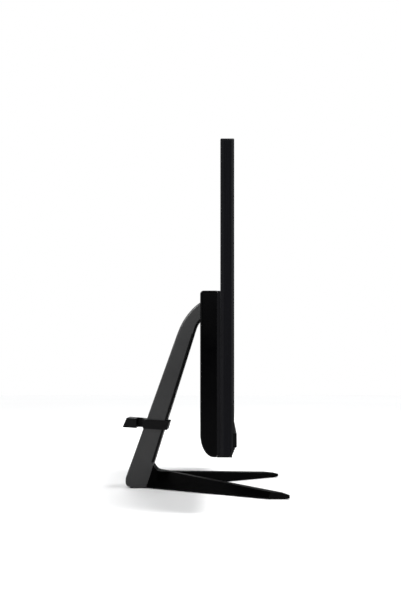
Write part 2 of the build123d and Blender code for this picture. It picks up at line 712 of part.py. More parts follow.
# Steel chassis plate with stand-offs for the board and pillars for the cover's screws
with BuildPart() as chassis_plate:
    block((-263, 263), (thin_back, chassis_back), (74.5, 254.0))
    for spot_x, spot_z in standoff_spots:
        barrel(spot_x, spot_z, 3.0, (chassis_back - 0.5, board_front))
    for spot_x, spot_z in cover_screw_spots:
        barrel(spot_x, spot_z, 3.2, (chassis_back - 0.5, cover_inside))
        barrel(spot_x, spot_z, 1.5, (cover_inside - 7, cover_inside + 1), mode=Mode.SUBTRACT)
    for screw_x in bracket_screw_xs:
        for screw_z in bracket_screw_zs:
            barrel(screw_x, screw_z, 1.6, (thin_back - 1, chassis_back + 1),
                   mode=Mode.SUBTRACT)
    block(cable_slot_x, (thin_back - 1, chassis_back + 1), (82.0, 87.5), mode=Mode.SUBTRACT)
keep(chassis_plate, "chassis_plate")

with BuildPart() as motherboard:
    block(board_x, (board_front, board_back), board_z)
    for row in range(4):
        for column in range(3):
            left = -72.0 + column * 12
            low = 146.0 + row * 12
            block((left, left + 6), (board_back, board_back + 2.5), (low, low + 6))
keep(motherboard, "motherboard")

cpu_x = -112.0
cpu_z = 177.0
cpu_back = board_back + 4.2
plate_back = cpu_back + 3.0
pipe_back = plate_back + 3.0
with BuildPart() as processor:
    block((cpu_x - 22, cpu_x + 22), (board_back, cpu_back - 2), (cpu_z - 22, cpu_z + 22))
    block((cpu_x - 17, cpu_x + 17), (board_back, cpu_back), (cpu_z - 17, cpu_z + 17))
keep(processor, "processor")

with BuildPart() as cold_plate:
    block((cpu_x - 26, cpu_x + 26), (cpu_back, plate_back), (cpu_z - 24, cpu_z + 24))
keep(cold_plate, "cold_plate")

fin_x = (fan_x - 37.0, fan_x + 37.0)
fin_z = (197.0, 221.0)
fin_pitch = 2.6
with BuildPart() as heat_pipes:
    for step, fins_height in ((9.0, 215.0), (-9.0, 203.0)):
        start_z = cpu_z + step
        elbow_x = 30.0 - step / 3
        with BuildSketch(front_plane(pipe_back)):
            with BuildLine():
                FilletPolyline((cpu_x - 24, start_z), (elbow_x, start_z),
                               (elbow_x + fins_height - start_z, fins_height),
                               (fin_x[1] - 2, fins_height), radius=14)
            trace(line_width=8.0)
        extrude(amount=pipe_back - plate_back)
keep(heat_pipes, "heat_pipes")

with BuildPart() as fin_stack:
    fin_count = int((fin_x[1] - fin_x[0]) / fin_pitch)
    block(fin_x, (plate_back - 0.6, plate_back), fin_z)
    block(fin_x, (chassis_back + 2.0, chassis_back + 2.6), fin_z)
    fin_depth = plate_back - chassis_back - 2.0
    with Locations((fan_x, chassis_back + 2.0 + fin_depth / 2, sum(fin_z) / 2)):
        with GridLocations(fin_pitch, 1, fin_count, 1):
            Box(0.5, fin_depth, fin_z[1] - fin_z[0])
keep(fin_stack, "fin_stack")

# Blower: a shallow housing, open towards the fins, and its rotor
housing_half = 42.0
housing_back = chassis_back + 14.0
fan_floor = chassis_back + 1.2
fan_roof = housing_back - 1.2
shaft_radius = 1.5
with BuildPart() as fan_housing:
    block((fan_x - housing_half, fan_x + housing_half), (chassis_back, housing_back),
          (fan_z - housing_half, fin_z[0] - 1.0))
    fillet(fan_housing.edges().filter_by(Axis.Y).filter_by(
        lambda e: e.center().Z < fan_z), 30.0)
    barrel(fan_x, fan_z, housing_half - 2.0, (fan_floor, fan_roof), mode=Mode.SUBTRACT)
    block((fan_x - 36, fan_x + 36), (fan_floor, fan_roof), (fan_z + 10, fin_z[0] + 1),
          mode=Mode.SUBTRACT)
    barrel(fan_x, fan_z, 27.0, (fan_roof - 1, housing_back + 1), mode=Mode.SUBTRACT)
    barrel(fan_x, fan_z, 4.0, (fan_floor - 0.5, fan_floor + 6))
    barrel(fan_x, fan_z, shaft_radius + 0.05, (fan_floor, fan_floor + 7), mode=Mode.SUBTRACT)
keep(fan_housing, "fan_housing")

blade_count = 19
with BuildPart() as fan_rotor:
    barrel(fan_x, fan_z, 12.0, (fan_floor + 0.8, fan_roof - 0.8))
    barrel(fan_x, fan_z, 9.0, (fan_floor, fan_roof - 2.4), mode=Mode.SUBTRACT)
    barrel(fan_x, fan_z, shaft_radius, (fan_floor + 0.4, fan_roof - 2.0))
    with BuildSketch(front_plane(fan_roof - 0.8)):
        with Locations((fan_x, fan_z)):
            with PolarLocations(22.5, blade_count):
                Rectangle(26.0, 1.1, rotation=20)
    extrude(amount=8.0)
keep(fan_rotor, "fan_rotor")

# Plug-in modules on the board
module_left = -229.0
module_rows = (184.0, 144.0)
with BuildPart() as memory_sockets:
    for row_z in module_rows:
        block((module_left, module_left + 74), (board_back, board_back + 5),
              (row_z, row_z + 6))
        block((module_left + 3, module_left + 71), (board_back + 2.4, board_back + 3.8),
              (row_z + 2.5, row_z + 7), mode=Mode.SUBTRACT)
keep(memory_sockets, "memory_sockets")

with BuildPart() as memory_modules:
    for row_z in module_rows:
        block((module_left + 3.2, module_left + 70.8), (board_back + 2.5, board_back + 3.7),
              (row_z + 2.5, row_z + 32.5))
        for chip in range(4):
            chip_x = module_left + 8 + chip * 16
            block((chip_x, chip_x + 11), (board_back + 3.7, board_back + 4.7),
                  (row_z + 12, row_z + 26))
keep(memory_modules, "memory_modules")

with BuildPart() as ssd_module:
    block((-225, -145), (board_back + 1.8, board_back + 2.6), (120, 142))
    block((-231, -225), (board_back, board_back + 4), (120, 142))
    block((-149, -145), (board_back, board_back + 1.8), (128, 134))
    for chip_x in (-217, -196, -170):
        block((chip_x, chip_x + 14), (board_back + 2.6, board_back + 3.8), (123, 139))
keep(ssd_module, "ssd_module")

with BuildPart() as wireless_card:
    block((-80, -50), (board_back + 1.8, board_back + 2.6), (115, 137))
    block((-50, -44), (board_back, board_back + 4), (115, 137))
    block((-80, -77), (board_back, board_back + 1.8), (123, 129))
    block((-74, -58), (board_back + 2.6, board_back + 4.2), (118, 134))
keep(wireless_card, "wireless_card")

with BuildPart() as coin_cell:
    barrel(-60, 205, 12.0, (board_back, board_back + 1.6))
    barrel(-60, 205, 10.0, (board_back + 1.6, board_back + 4.8))
keep(coin_cell, "coin_cell")

# Hard drive in its bracket
drive_x = (166.0, 236.0)
drive_z = (128.0, 228.0)
drive_front = chassis_back + 3.5
drive_back = drive_front + 7.0
with BuildPart() as hard_drive:
    block(drive_x, (drive_front, drive_back), drive_z)
    fillet(hard_drive.edges().filter_by(Axis.Y), 2.5)
    barrel(198, 186, 29.0, (drive_back - 0.5, drive_back + 1), mode=Mode.SUBTRACT)
    block((176, 226), (drive_back - 0.4, drive_back + 1), (132, 150), mode=Mode.SUBTRACT)
keep(hard_drive, "hard_drive")

with BuildPart() as drive_bracket:
    block((drive_x[0] - 5, drive_x[1] + 5), (chassis_back, drive_back), drive_z)
    block(drive_x, (drive_front, drive_back + 1), (drive_z[0] - 1, drive_z[1] + 1),
          mode=Mode.SUBTRACT)
    block((drive_x[0] + 10, drive_x[1] - 10), (chassis_back - 1, drive_front + 1),
          (drive_z[0] + 12, drive_z[1] - 12), mode=Mode.SUBTRACT)
    for side_x in (drive_x[0] - 3.2, drive_x[1] + 3.2):
        block((side_x - 1.9, side_x + 1.9), (chassis_back + 1.5, drive_back + 1),
              (drive_z[0] + 8, drive_z[1] - 8), mode=Mode.SUBTRACT)
keep(drive_bracket, "drive_bracket")


def speaker_box(side):
    """One flat speaker behind the grille, left (-1) or right (+1)."""
    middle = side * (sound_window[0] + sound_window[1]) / 2
    back = ledge_back - 0.2
    with BuildPart() as box:
        block((middle - 64, middle + 64), (bezel_back + 0.6, back), (76.8, 98.0))
        fillet(box.edges().filter_by(Axis.Y), 3.0)
        for cone_x in (middle - 30, middle + 30):
            with BuildSketch(front_plane(bezel_back + 2.2)):
                with Locations((cone_x, 87.4)):
                    SlotOverall(44.0, 13.0)
                    SlotOverall(24.0, 5.0, mode=Mode.SUBTRACT)
            extrude(amount=3, mode=Mode.SUBTRACT)
    return box


left_speaker = speaker_box(-1)
keep(left_speaker, "left_speaker")
right_speaker = speaker_box(1)
keep(right_speaker, "right_speaker")

# ---------------------------------------------------------------- ports
io_z = 110.0
port_back = system_back - 0.8
dc_x = -220.0
usb_xs = (-199.0, -183.0, -167.0)
hdmi_x = -149.0
ethernet_x = -125.0
audio_x = -102.0
usb_size = (6.4, 14.2)
hdmi_size = (6.2, 16.0)
ethernet_size = (15.0, 16.0)
jack_size = (9.0, 11.0)
audio_size = (6.5, 8.0)
port_sizes = [(dc_x, jack_size), (hdmi_x, hdmi_size), (ethernet_x, ethernet_size),
              (audio_x, audio_size)] + [(x, usb_size) for x in usb_xs]
with BuildPart() as io_plate:
    block((io_window_x[0] - 2, io_window_x[1] + 2), (cover_inside - 1.2, cover_inside - 0.1),
          (io_window_z[0] - 2, io_window_z[1] + 2))
    for port_x, (width, height) in port_sizes:
        block((port_x - width / 2 - fit, port_x + width / 2 + fit),
              (cover_inside - 2, cover_inside + 1),
              (io_z - height / 2 - fit, io_z + height / 2 + fit), mode=Mode.SUBTRACT)
keep(io_plate, "io_plate")


def port_shell(x, size, shell, depth):
    """A port's body from the board to the rear, hollow at the rear end."""
    width, height = size
    block((x - width / 2, x + width / 2), (board_back, port_back),
          (io_z - height / 2, io_z + height / 2))
    block((x - width / 2 + shell, x + width / 2 - shell), (port_back - depth, port_back + 1),
          (io_z - height / 2 + shell, io_z + height / 2 - shell), mode=Mode.SUBTRACT)


with BuildPart() as usb_ports:
    for usb_x in usb_xs:
        port_shell(usb_x, usb_size, 0.5, 10.0)
        block((usb_x - 1.0, usb_x + 0.9), (port_back - 10.5, port_back - 1.2),
              (io_z - 5.8, io_z + 5.8))
keep(usb_ports, "usb_ports")

with BuildPart() as hdmi_port:
    port_shell(hdmi_x, hdmi_size, 0.7, 9.0)
    block((hdmi_x - 0.8, hdmi_x + 0.8), (port_back - 9.5, port_back - 1.5),
          (io_z - 5.5, io_z + 5.5))
keep(hdmi_port, "hdmi_port")

with BuildPart() as ethernet_jack:
    port_shell(ethernet_x, ethernet_size, 2.2, 11.5)
    block((ethernet_x - 3.4, ethernet_x + 3.4), (port_back - 11.5, port_back + 1),
          (io_z + 5.0, io_z + 6.8), mode=Mode.SUBTRACT)
keep(ethernet_jack, "ethernet_jack")

with BuildPart() as power_jack:
    block((dc_x - jack_size[0] / 2, dc_x + jack_size[0] / 2), (board_back, port_back),
          (io_z - jack_size[1] / 2, io_z + jack_size[1] / 2))
    barrel(dc_x, io_z, 2.9, (port_back - 9.5, port_back + 1), mode=Mode.SUBTRACT)
    barrel(dc_x, io_z, 1.0, (port_back - 10, port_back - 1))
keep(power_jack, "power_jack")

with BuildPart() as audio_jack:
    block((audio_x - audio_size[0] / 2, audio_x + audio_size[0] / 2), (board_back, port_back),
          (io_z - audio_size[1] / 2, io_z + audio_size[1] / 2))
    barrel(audio_x, io_z, 1.8, (port_back - 13, port_back + 1), mode=Mode.SUBTRACT)
keep(audio_jack, "audio_jack")

# Ribbon from the board to the picture's driver board, through the chassis
ribbon_x = (-30.0, -16.0)
ribbon = 0.6
driver_back = bezel_back + 2.2
ribbon_z = 84.0
connector_z = (95.0, 101.0)
with BuildPart() as display_cable:
    block(ribbon_x, (driver_back, driver_back + ribbon), (ribbon_z, driver_board_z[0] + 3))
    block(ribbon_x, (driver_back, board_back + 1.6), (ribbon_z, ribbon_z + ribbon))
    block(ribbon_x, (board_back + 1.0, board_back + 1.6), (ribbon_z, connector_z[1]))
    block((ribbon_x[0], board_x[1] + 14), (board_back + 1.0, board_back + 1.6), connector_z)
    block((board_x[1] - 10, ribbon_x[0] + 1), (board_back, board_back + 2.4), connector_z)
keep(display_cable, "display_cable")

with BuildPart() as antennas:
    for side in (-1, 1):
        patch_x = sorted((side * 180.0, side * 216.0))
        block(patch_x, (thin_back - 2.8, thin_back - 2.0), (406, 418))
keep(antennas, "antennas")
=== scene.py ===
import json
import math

import bmesh
import bpy
from mathutils import Matrix, Vector


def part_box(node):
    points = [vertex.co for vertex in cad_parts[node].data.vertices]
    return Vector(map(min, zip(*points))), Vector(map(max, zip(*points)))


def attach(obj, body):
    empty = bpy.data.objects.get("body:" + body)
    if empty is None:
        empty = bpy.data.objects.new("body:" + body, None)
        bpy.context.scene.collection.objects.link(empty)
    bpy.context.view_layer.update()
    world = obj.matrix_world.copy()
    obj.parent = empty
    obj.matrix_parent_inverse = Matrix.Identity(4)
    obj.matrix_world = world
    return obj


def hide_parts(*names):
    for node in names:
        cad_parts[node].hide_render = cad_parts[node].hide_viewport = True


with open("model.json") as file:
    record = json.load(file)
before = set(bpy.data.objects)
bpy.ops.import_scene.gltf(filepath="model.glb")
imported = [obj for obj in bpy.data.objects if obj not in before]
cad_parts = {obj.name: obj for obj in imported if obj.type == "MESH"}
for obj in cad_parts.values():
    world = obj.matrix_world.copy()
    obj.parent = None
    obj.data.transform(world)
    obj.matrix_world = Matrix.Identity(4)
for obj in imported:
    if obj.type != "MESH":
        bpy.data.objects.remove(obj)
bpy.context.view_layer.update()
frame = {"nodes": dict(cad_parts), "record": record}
nodes = frame["nodes"]
MM = 0.001

# ------------------------------------------------------------------ camera
# Level, looking along +X at the head's narrow side, about 1.3 m away.
# The shifts place the machine where the picture has it, off the frame's middle.
LENS = 55.0
SENSOR_WIDTH = 36.0
CAMERA_AT = Vector((-1.33, -0.031, 0.162))
SHIFT_ACROSS = -0.041
SHIFT_UP = 0.124
camera_data = bpy.data.cameras.new("camera")
camera_data.lens = LENS
camera_data.sensor_width = SENSOR_WIDTH
camera_data.shift_x = SHIFT_ACROSS
camera_data.shift_y = SHIFT_UP
camera = bpy.data.objects.new("camera", camera_data)
camera.location = CAMERA_AT
camera.rotation_euler = (math.radians(90), 0, math.radians(-90))
bpy.context.scene.collection.objects.link(camera)
bpy.context.scene.camera = camera


# ------------------------------------------------------------------ shaders
# Noise between these two values is spread over the whole of a roughness range.
NOISE_LOW = 0.3
NOISE_HIGH = 0.7
# Pale edges, edge wear with a painted edge highlight: reach of the paling, how sharply a surface
# has to turn, and the most paling.
EDGE_WEAR_HIGHLIGHT_RADIUS = 0.7 * MM
EDGE_WEAR_HIGHLIGHT_TURN_LOW = 0.02
EDGE_WEAR_HIGHLIGHT_TURN_HIGH = 0.30
EDGE_WEAR_HIGHLIGHT_SHARE = 0.5


class Shader:
    """A Principled material, with short ways to add the nodes that feed it."""

    def __init__(self, name, base, rough, metallic=0.0, **sockets):
        self.material = bpy.data.materials.new(name)
        self.material.use_nodes = True
        self.tree = self.material.node_tree
        self.bsdf = self.tree.nodes["Principled BSDF"]
        self.bsdf.inputs["Base Color"].default_value = (*base, 1.0)
        self.bsdf.inputs["Roughness"].default_value = rough
        self.bsdf.inputs["Metallic"].default_value = metallic
        for socket, value in sockets.items():
            self.bsdf.inputs[socket.replace("_", " ")].default_value = value
        self.base = base
        self.colour = None
        self.relief = None

    def add(self, kind, **inputs):
        node = self.tree.nodes.new(kind)
        for socket, value in inputs.items():
            node.inputs[socket].default_value = value
        return node

    def link(self, output, socket):
        self.tree.links.new(output, socket)

    def coords(self, stretch=(1.0, 1.0, 1.0)):
        """Object coordinates in metres, multiplied axis by axis."""
        place = self.add("ShaderNodeTexCoord")
        mapping = self.add("ShaderNodeMapping")
        mapping.inputs["Scale"].default_value = stretch
        self.link(place.outputs["Object"], mapping.inputs["Vector"])
        return mapping.outputs["Vector"]

    def noise(self, scale, detail=2.0, stretch=(1.0, 1.0, 1.0)):
        texture = self.add("ShaderNodeTexNoise", Scale=scale, Detail=detail)
        self.link(self.coords(stretch), texture.inputs["Vector"])
        return texture.outputs["Fac"]

    def cells(self, scale, stretch=(1.0, 1.0, 1.0)):
        texture = self.add("ShaderNodeTexVoronoi", Scale=scale)
        self.link(self.coords(stretch), texture.inputs["Vector"])
        return texture.outputs["Distance"]

    def spread(self, value, value_range, result_range):
        """A value moved from one (low, high) range to another."""
        spread = self.add("ShaderNodeMapRange")
        spread.inputs["From Min"].default_value = value_range[0]
        spread.inputs["From Max"].default_value = value_range[1]
        spread.inputs["To Min"].default_value = result_range[0]
        spread.inputs["To Max"].default_value = result_range[1]
        self.link(value, spread.inputs["Value"])
        return spread.outputs["Result"]

    def tint(self, value, spread, low=0.35, high=0.65):
        """Base colour that wanders a little around the base."""
        dark = tuple(c * (1 - spread) for c in self.base)
        light = tuple(min(1.0, c * (1 + spread)) for c in self.base)
        ramp = self.add("ShaderNodeValToRGB")
        for stop, position, colour in zip(ramp.color_ramp.elements, (low, high), (dark, light)):
            stop.position = position
            stop.color = (*colour, 1.0)
        self.link(value, ramp.inputs["Fac"])
        self.colour = ramp.outputs["Color"]
        self.link(self.colour, self.bsdf.inputs["Base Color"])

    def rough(self, value, low, high):
        """Roughness that follows a value between low and high."""
        roughness = self.spread(value, (NOISE_LOW, NOISE_HIGH), (low, high))
        self.link(roughness, self.bsdf.inputs["Roughness"])

    def bump(self, value, depth):
        """Small relief, depth in metres. A second call adds to the first."""
        relief = self.add("ShaderNodeBump", Strength=1.0, Distance=depth)
        self.link(value, relief.inputs["Height"])
        if self.relief is not None:
            self.link(self.relief, relief.inputs["Normal"])
        self.relief = relief.outputs["Normal"]
        self.link(self.relief, self.bsdf.inputs["Normal"])

    def worn_and_highlit_edges(self, wear_and_highlight_colour):
        """Paler colour where the surface turns sharply, broken up by noise: edge wear with a
        painted edge highlight.
        """
        bevel = self.add("ShaderNodeBevel", Radius=EDGE_WEAR_HIGHLIGHT_RADIUS)
        bevel.samples = 4
        flat = self.add("ShaderNodeNewGeometry")
        dot = self.add("ShaderNodeVectorMath")
        dot.operation = "DOT_PRODUCT"
        self.link(bevel.outputs["Normal"], dot.inputs[0])
        self.link(flat.outputs["Normal"], dot.inputs[1])
        turn = self.spread(dot.outputs["Value"], (1.0 - EDGE_WEAR_HIGHLIGHT_TURN_LOW, 1.0 - EDGE_WEAR_HIGHLIGHT_TURN_HIGH),
                           (0.0, EDGE_WEAR_HIGHLIGHT_SHARE))
        patchy = self.add("ShaderNodeMath")
        patchy.operation = "MULTIPLY"
        self.link(turn, patchy.inputs[0])
        self.link(self.noise(90.0, 3.0), patchy.inputs[1])
        mix = self.add("ShaderNodeMix")
        mix.data_type = "RGBA"
        self.link(patchy.outputs["Value"], mix.inputs["Factor"])
        self.link(self.colour, mix.inputs[6])
        # The paler edge colour stands for edge wear and for a painted highlight along the edges.
        mix.inputs[7].default_value = (*wear_and_highlight_colour, 1.0)
        self.link(mix.outputs[2], self.bsdf.inputs["Base Color"])


def moulded(name, base, rough, gloss=0.25, grain=0.00002, spread=0.12):
    """Moulded plastic: fine spark-eroded grain and slightly uneven gloss."""
    shader = Shader(name, base, rough, Specular_IOR_Level=gloss)
    shader.tint(shader.noise(14.0, 3.0), spread)
    shader.rough(shader.noise(45.0, 4.0), rough - 0.05, rough + 0.06)
    shader.bump(shader.noise(1500.0, 2.0), grain)
    # Paler edges: edge wear with a painted edge highlight.
    shader.worn_and_highlit_edges(tuple(c * 2.2 + 0.02 for c in base))
    return shader.material


def brushed_side(name, base, rough):
    """Dark side band with fine upright brushing."""
    shader = Shader(name, base, rough, Specular_IOR_Level=0.06)
    streaks = shader.noise(1.0, 5.0, stretch=(900.0, 900.0, 9.0))
    shader.tint(streaks, 0.35, 0.3, 0.7)
    shader.rough(streaks, rough - 0.08, rough + 0.10)
    shader.bump(streaks, 0.00004)
    # Paler edges: edge wear with a painted edge highlight.
    shader.worn_and_highlit_edges(tuple(c * 2.5 + 0.02 for c in base))
    return shader.material


def coated_metal(name, base, rough, gloss=0.3, orange_peel=0.00003):
    """Powder coat on a casting or sheet: orange peel in two sizes, paler edges of wear with a
    painted edge highlight.
    """
    shader = Shader(name, base, rough, Specular_IOR_Level=gloss)
    shader.tint(shader.noise(9.0, 4.0), 0.14)
    shader.rough(shader.noise(60.0, 3.0), rough - 0.06, rough + 0.08)
    shader.bump(shader.noise(700.0, 2.0), orange_peel)
    shader.bump(shader.noise(2600.0, 1.0), orange_peel * 0.5)
    # Paler edges: edge wear with a painted edge highlight.
    shader.worn_and_highlit_edges(tuple(c * 2.0 + 0.03 for c in base))
    return shader.material


def bare_metal(name, base, rough, stretch=(1.0, 1.0, 1.0)):
    """Bare sheet or machined metal with directional lines."""
    shader = Shader(name, base, rough, metallic=1.0)
    scratches = shader.noise(260.0, 4.0, stretch)
    shader.tint(scratches, 0.12)
    shader.rough(scratches, rough - 0.08, rough + 0.12)
    shader.bump(scratches, 0.00002)
    return shader.material


def rubber(name, base):
    """Dull rubber with a fine pebbled surface."""
    shader = Shader(name, base, 0.85)
    shader.tint(shader.noise(120.0, 3.0), 0.2)
    shader.rough(shader.noise(300.0, 2.0), 0.75, 0.95)
    shader.bump(shader.cells(1600.0), 0.00005)
    # Paler edges: edge wear with a painted edge highlight.
    shader.worn_and_highlit_edges((0.06, 0.06, 0.06))
    return shader.material


def circuit_board(name):
    """Green solder mask with traces and small pads."""
    shader = Shader(name, (0.012, 0.085, 0.04), 0.35, Coat_Weight=0.3, Coat_Roughness=0.2)
    shader.tint(shader.cells(300.0, (1.0, 1.0, 1.6)), 0.45, 0.1, 0.5)
    shader.rough(shader.noise(500.0, 2.0), 0.28, 0.5)
    shader.bump(shader.cells(420.0), 0.00006)
    return shader.material


def screen_surface(name):
    """Anti-glare front of the dark picture panel."""
    shader = Shader(name, (0.0018, 0.0019, 0.0024), 0.24, Coat_Weight=0.12,
                    Coat_Roughness=0.10, Specular_IOR_Level=0.25)
    shader.tint(shader.noise(5.0, 2.0), 0.08)
    shader.rough(shader.noise(30.0, 3.0), 0.19, 0.26)
    shader.bump(shader.noise(4000.0, 1.0), 0.000004)
    return shader.material


def steel_mesh(name):
    """Fine black woven mesh: two crossed sets of wires half a millimetre apart."""
    shader = Shader(name, (0.012, 0.012, 0.012), 0.55, metallic=0.6)
    wires = shader.add("ShaderNodeTexWave", Scale=320.0)
    wires.bands_direction = "X"
    crossing = shader.add("ShaderNodeTexWave", Scale=320.0)
    crossing.bands_direction = "Z"
    place = shader.coords()
    shader.link(place, wires.inputs["Vector"])
    shader.link(place, crossing.inputs["Vector"])
    weave = shader.add("ShaderNodeMath")
    weave.operation = "MAXIMUM"
    shader.link(wires.outputs["Fac"], weave.inputs[0])
    shader.link(crossing.outputs["Fac"], weave.inputs[1])
    shader.tint(weave.outputs["Value"], 0.8, 0.3, 0.9)
    shader.rough(weave.outputs["Value"], 0.45, 0.8)
    shader.bump(weave.outputs["Value"], 0.0001)
    return shader.material


looks = {
    "arm_paint": coated_metal("arm_paint", (0.0070, 0.0070, 0.0075), 0.34, 0.50, 0.00001),
    "foot_paint": coated_metal("foot_paint", (0.0003, 0.0003, 0.0004), 0.5, 0.02, 0.000008),
    "strip_plastic": moulded("strip_plastic", (0.0016, 0.0016, 0.0018), 0.5, 0.08),
    "rubber_pad": rubber("rubber_pad", (0.018, 0.018, 0.018)),
    "screw_steel": bare_metal("screw_steel", (0.12, 0.12, 0.125), 0.38),
    "hinge_steel": bare_metal("hinge_steel", (0.42, 0.42, 0.43), 0.3, (8.0, 1.0, 1.0)),
    "clip_plastic": moulded("clip_plastic", (0.0014, 0.0014, 0.0016), 0.42, 0.10),
    "bezel_plastic": moulded("bezel_plastic", (0.0055, 0.0055, 0.0068), 0.4, 0.2),
    "chin_plastic": moulded("chin_plastic", (0.0030, 0.0030, 0.0037), 0.33, 0.16),
    "grille_plastic": moulded("grille_plastic", (0.0010, 0.0010, 0.0012), 0.5, 0.08),
    "trim_plastic": moulded("trim_plastic", (0.0012, 0.0012, 0.0015), 0.45, 0.12),
    "button_plastic": moulded("button_plastic", (0.030, 0.030, 0.033), 0.4),
    "shutter_plastic": moulded("shutter_plastic", (0.028, 0.028, 0.031), 0.45),
    "frame_plastic": brushed_side("frame_plastic", (0.0032, 0.0032, 0.0045), 0.5),
    "rear_plastic": moulded("rear_plastic", (0.0034, 0.0034, 0.0046), 0.5, 0.10),
    "cover_plastic": moulded("cover_plastic", (0.0003, 0.0003, 0.0005), 0.2, 0.04, 0.000004),
    "screen_glass": screen_surface("screen_glass"),
    "diffuser_sheet": moulded("diffuser_sheet", (0.8, 0.8, 0.8), 0.5, spread=0.03),
    "io_steel": coated_metal("io_steel", (0.012, 0.012, 0.013), 0.45, 0.3),
    "tray_steel": bare_metal("tray_steel", (0.5, 0.5, 0.5), 0.4, (1.0, 1.0, 10.0)),
    "circuit_board": circuit_board("circuit_board"),
    "chip_nickel": bare_metal("chip_nickel", (0.55, 0.55, 0.53), 0.25),
    "copper_plate": bare_metal("copper_plate", (0.78, 0.38, 0.22), 0.28, (1.0, 1.0, 12.0)),
    "fin_aluminium": bare_metal("fin_aluminium", (0.72, 0.73, 0.74), 0.35),
    "drive_aluminium": bare_metal("drive_aluminium", (0.55, 0.55, 0.57), 0.4),
    "fan_plastic": moulded("fan_plastic", (0.018, 0.018, 0.018), 0.5),
    "socket_plastic": moulded("socket_plastic", (0.022, 0.022, 0.022), 0.45),
    "speaker_plastic": moulded("speaker_plastic", (0.022, 0.022, 0.022), 0.55),
    "port_steel": bare_metal("port_steel", (0.58, 0.58, 0.56), 0.28),
    "ribbon_film": moulded("ribbon_film", (0.32, 0.22, 0.06), 0.35),
    "light_lens": moulded("light_lens", (0.75, 0.75, 0.78), 0.2, spread=0.03),
    "tongue_plastic": moulded("tongue_plastic", (0.012, 0.045, 0.20), 0.4),
    "contact_gold": bare_metal("contact_gold", (0.85, 0.58, 0.22), 0.22),
    "steel_mesh": steel_mesh("steel_mesh"),
    "lens_glass": moulded("lens_glass", (0.010, 0.008, 0.018), 0.08, grain=0.0),
}

# Each CAD node takes the look of its slot. The port plate is painted, unlike its slot's tray.
for part in frame["record"]["subparts"]:
    obj = nodes[part["node"]]
    obj.data.materials.clear()
    obj.data.materials.append(looks[part["material_slot"]])
nodes["io_plate"].data.materials[0] = looks["io_steel"]


# ------------------------------------------------------------------ edges
WELD_REACH = 0.002 * MM
SHARP_EDGE = math.radians(30)


def soften(node, width):
    """Round a CAD node's hard edges a little, as a mould or a casting does."""
    obj = nodes[node]
    weld = obj.modifiers.new("weld", "WELD")
    weld.merge_threshold = WELD_REACH
    bevel = obj.modifiers.new("edge_round", "BEVEL")
    bevel.width = width
    bevel.segments = 3
    bevel.limit_method = "ANGLE"
    bevel.angle_limit = SHARP_EDGE
    bevel.miter_outer = "MITER_ARC"
    normals = obj.modifiers.new("normals", "WEIGHTED_NORMAL")
    normals.keep_sharp = True


soften("v_base", 0.5 * MM)
soften("cable_clip", 0.3 * MM)
soften("stand_arm", 0.4 * MM)
soften("hinge_covers", 0.4 * MM)
soften("bottom_trim", 0.3 * MM)

# ------------------------------------------------------------------ small pieces
SMOOTH_BELOW = math.radians(35)


def add_block(form, low, high, round_edges=0.0):
    """A block with rounded edges between two corners, in metres."""
    low, high = Vector(low), Vector(high)
    made = bmesh.ops.create_cube(form, size=1.0)["verts"]
    for vert in made:
        vert.co = Vector(low[i] + (vert.co[i] + 0.5) * (high[i] - low[i]) for i in range(3))
    if round_edges:
        edges = list({edge for vert in made for edge in vert.link_edges})
        bmesh.ops.bevel(form, geom=edges, offset=round_edges, segments=2, profile=0.5,
                        affect="EDGES", clamp_overlap=True)


def add_lathe(form, centre, outline, sides=32):
    """A turned ring about an axis along Y. The outline is (radius, depth) points, in metres."""
    rings = []
    for radius, depth in outline:
        ring = []
        for step in range(sides):
            turn = 2 * math.pi * step / sides
            ring.append(form.verts.new((centre[0] + radius * math.cos(turn),
                                        centre[1] + depth,
                                        centre[2] + radius * math.sin(turn))))
        rings.append(ring)
    for first, second in zip(rings, rings[1:]):
        for step in range(sides):
            after = (step + 1) % sides
            form.faces.new((first[step], first[after], second[after], second[step]))
    return rings


def finish_piece(name, form, look, body="head"):
    """Turn a bmesh into a piece with one material that rides on a body."""
    bmesh.ops.recalc_face_normals(form, faces=form.faces)
    mesh = bpy.data.meshes.new(name)
    form.to_mesh(mesh)
    form.free()
    for face in mesh.polygons:
        face.use_smooth = True
    mesh.set_sharp_from_angle(angle=SMOOTH_BELOW)
    mesh.materials.append(look)
    obj = bpy.data.objects.new(name, mesh)
    bpy.context.scene.collection.objects.link(obj)
    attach(obj, body)
    return obj


def add_cross_screw(form, centre, radius, head, shank, shank_length):
    """A raised screw with a cross recess, seen from +Y, with its seat at centre."""
    arm = radius * 0.58
    half = radius * 0.15
    recess = head * 0.85
    floor_share = 0.8
    dome = [(shank, -shank_length), (shank, 0.0), (radius, 0.0), (radius, head * 0.45),
            (radius * 0.94, head * 0.78), (radius * 0.80, head)]
    rings = add_lathe(form, centre, dome)
    form.faces.new(rings[0])
    cross = [(arm, half), (half, half), (half, arm), (-half, arm), (-half, half), (-arm, half),
             (-arm, -half), (-half, -half), (-half, -arm), (half, -arm), (half, -half),
             (arm, -half)]
    top = centre[1] + head
    mouth = [form.verts.new((centre[0] + x, top, centre[2] + z)) for x, z in cross]
    floor_ring = [form.verts.new((centre[0] + floor_share * x, top - recess,
                                  centre[2] + floor_share * z)) for x, z in cross]
    count = len(cross)
    mouth_edges = [form.edges.new((mouth[i], mouth[(i + 1) % count])) for i in range(count)]
    rim_edges = [form.edges.get((rings[-1][i], rings[-1][(i + 1) % len(rings[-1])]))
                 for i in range(len(rings[-1]))]
    bmesh.ops.triangle_fill(form, edges=mouth_edges + rim_edges, use_beauty=True)
    for i in range(count):
        after = (i + 1) % count
        form.faces.new((mouth[i], mouth[after], floor_ring[after], floor_ring[i]))
    form.faces.new(floor_ring)


